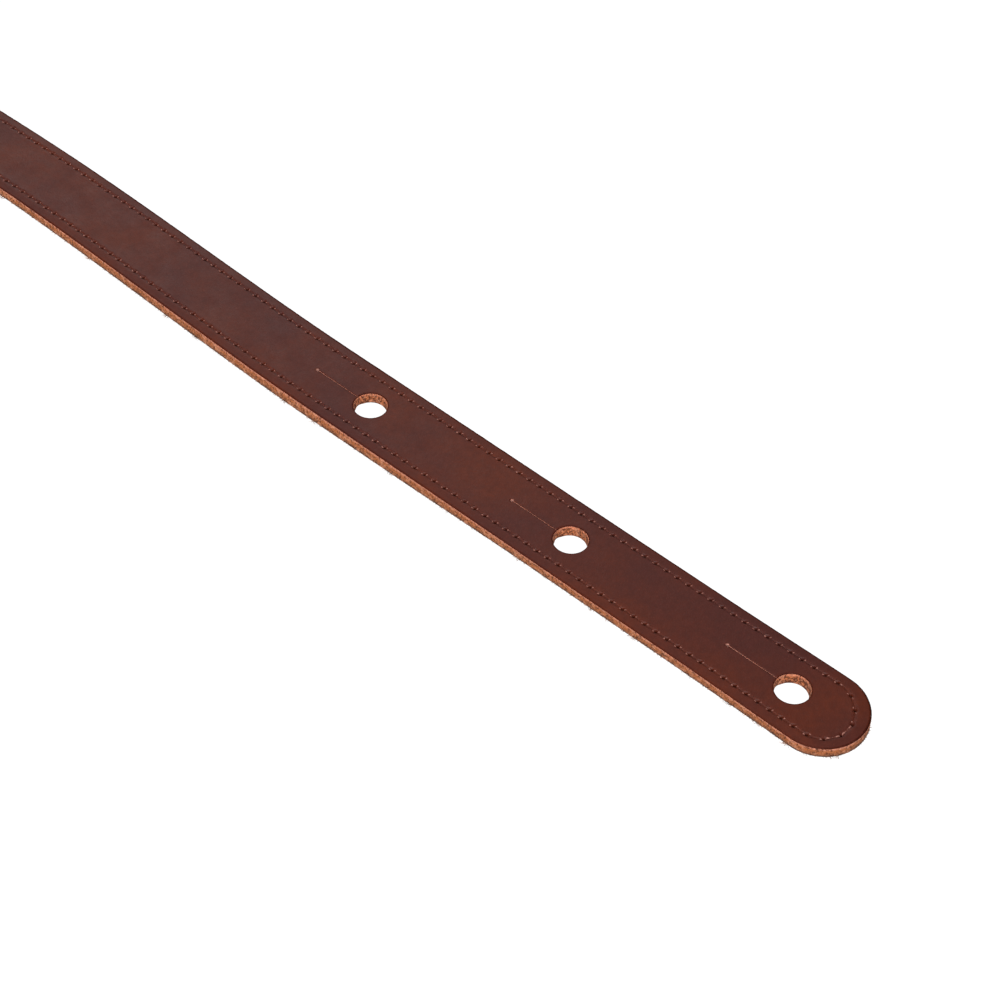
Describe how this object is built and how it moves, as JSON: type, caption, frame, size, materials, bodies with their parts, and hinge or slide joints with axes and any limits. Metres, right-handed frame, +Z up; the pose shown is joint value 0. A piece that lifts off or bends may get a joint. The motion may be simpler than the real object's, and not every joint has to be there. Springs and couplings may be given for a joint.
{
  "type": "guitar strap",
  "caption": "Slim flat leather guitar strap with stitched edges, round tips and slit button holes at both ends; bends across its width in the worn direction and back.",
  "frame": {"origin": "on the flesh side, at the middle of the strap's length and width; the strap lies flat on its flesh side", "axes": "+X along the strap to the tail tip, where the row of button holes is; +Y across it; +Z up out of the grain side"},
  "size_m": [1.32, 0.026, 0.0036],
  "materials": {
    "leather": "oiled dark chestnut grain leather with raw tan cut edges and a brown flesh side",
    "thread": "brown bonded sewing thread, close to the colour of the leather"
  },
  "bodies": {
    "tail": {"strap_tail": "leather", "top_thread_tail": "thread", "bobbin_thread_tail": "thread"},
    "back": {"strap_back": "leather", "top_thread_back": "thread", "bobbin_thread_back": "thread"},
    "shoulder": {"strap_shoulder": "leather", "top_thread_shoulder": "thread", "bobbin_thread_shoulder": "thread"},
    "front": {"strap_front": "leather", "top_thread_front": "thread", "bobbin_thread_front": "thread"},
    "head": {"strap_head": "leather", "top_thread_head": "thread", "bobbin_thread_head": "thread"}
  },
  "joints": [
    {"name": "tail_bend", "type": "hinge", "parent": "tail", "child": "back", "pos_m": [0.396, 0, 0.0018], "axis": [0, -1, 0], "range_deg": [-60, 60]},
    {"name": "back_bend", "type": "hinge", "parent": "back", "child": "shoulder", "pos_m": [0.132, 0, 0.0018], "axis": [0, -1, 0], "range_deg": [-60, 60]},
    {"name": "front_bend", "type": "hinge", "parent": "shoulder", "child": "front", "pos_m": [-0.132, 0, 0.0018], "axis": [0, -1, 0], "range_deg": [-60, 60]},
    {"name": "head_bend", "type": "hinge", "parent": "front", "child": "head", "pos_m": [-0.396, 0, 0.0018], "axis": [0, -1, 0], "range_deg": [-60, 60]}
  ]
}
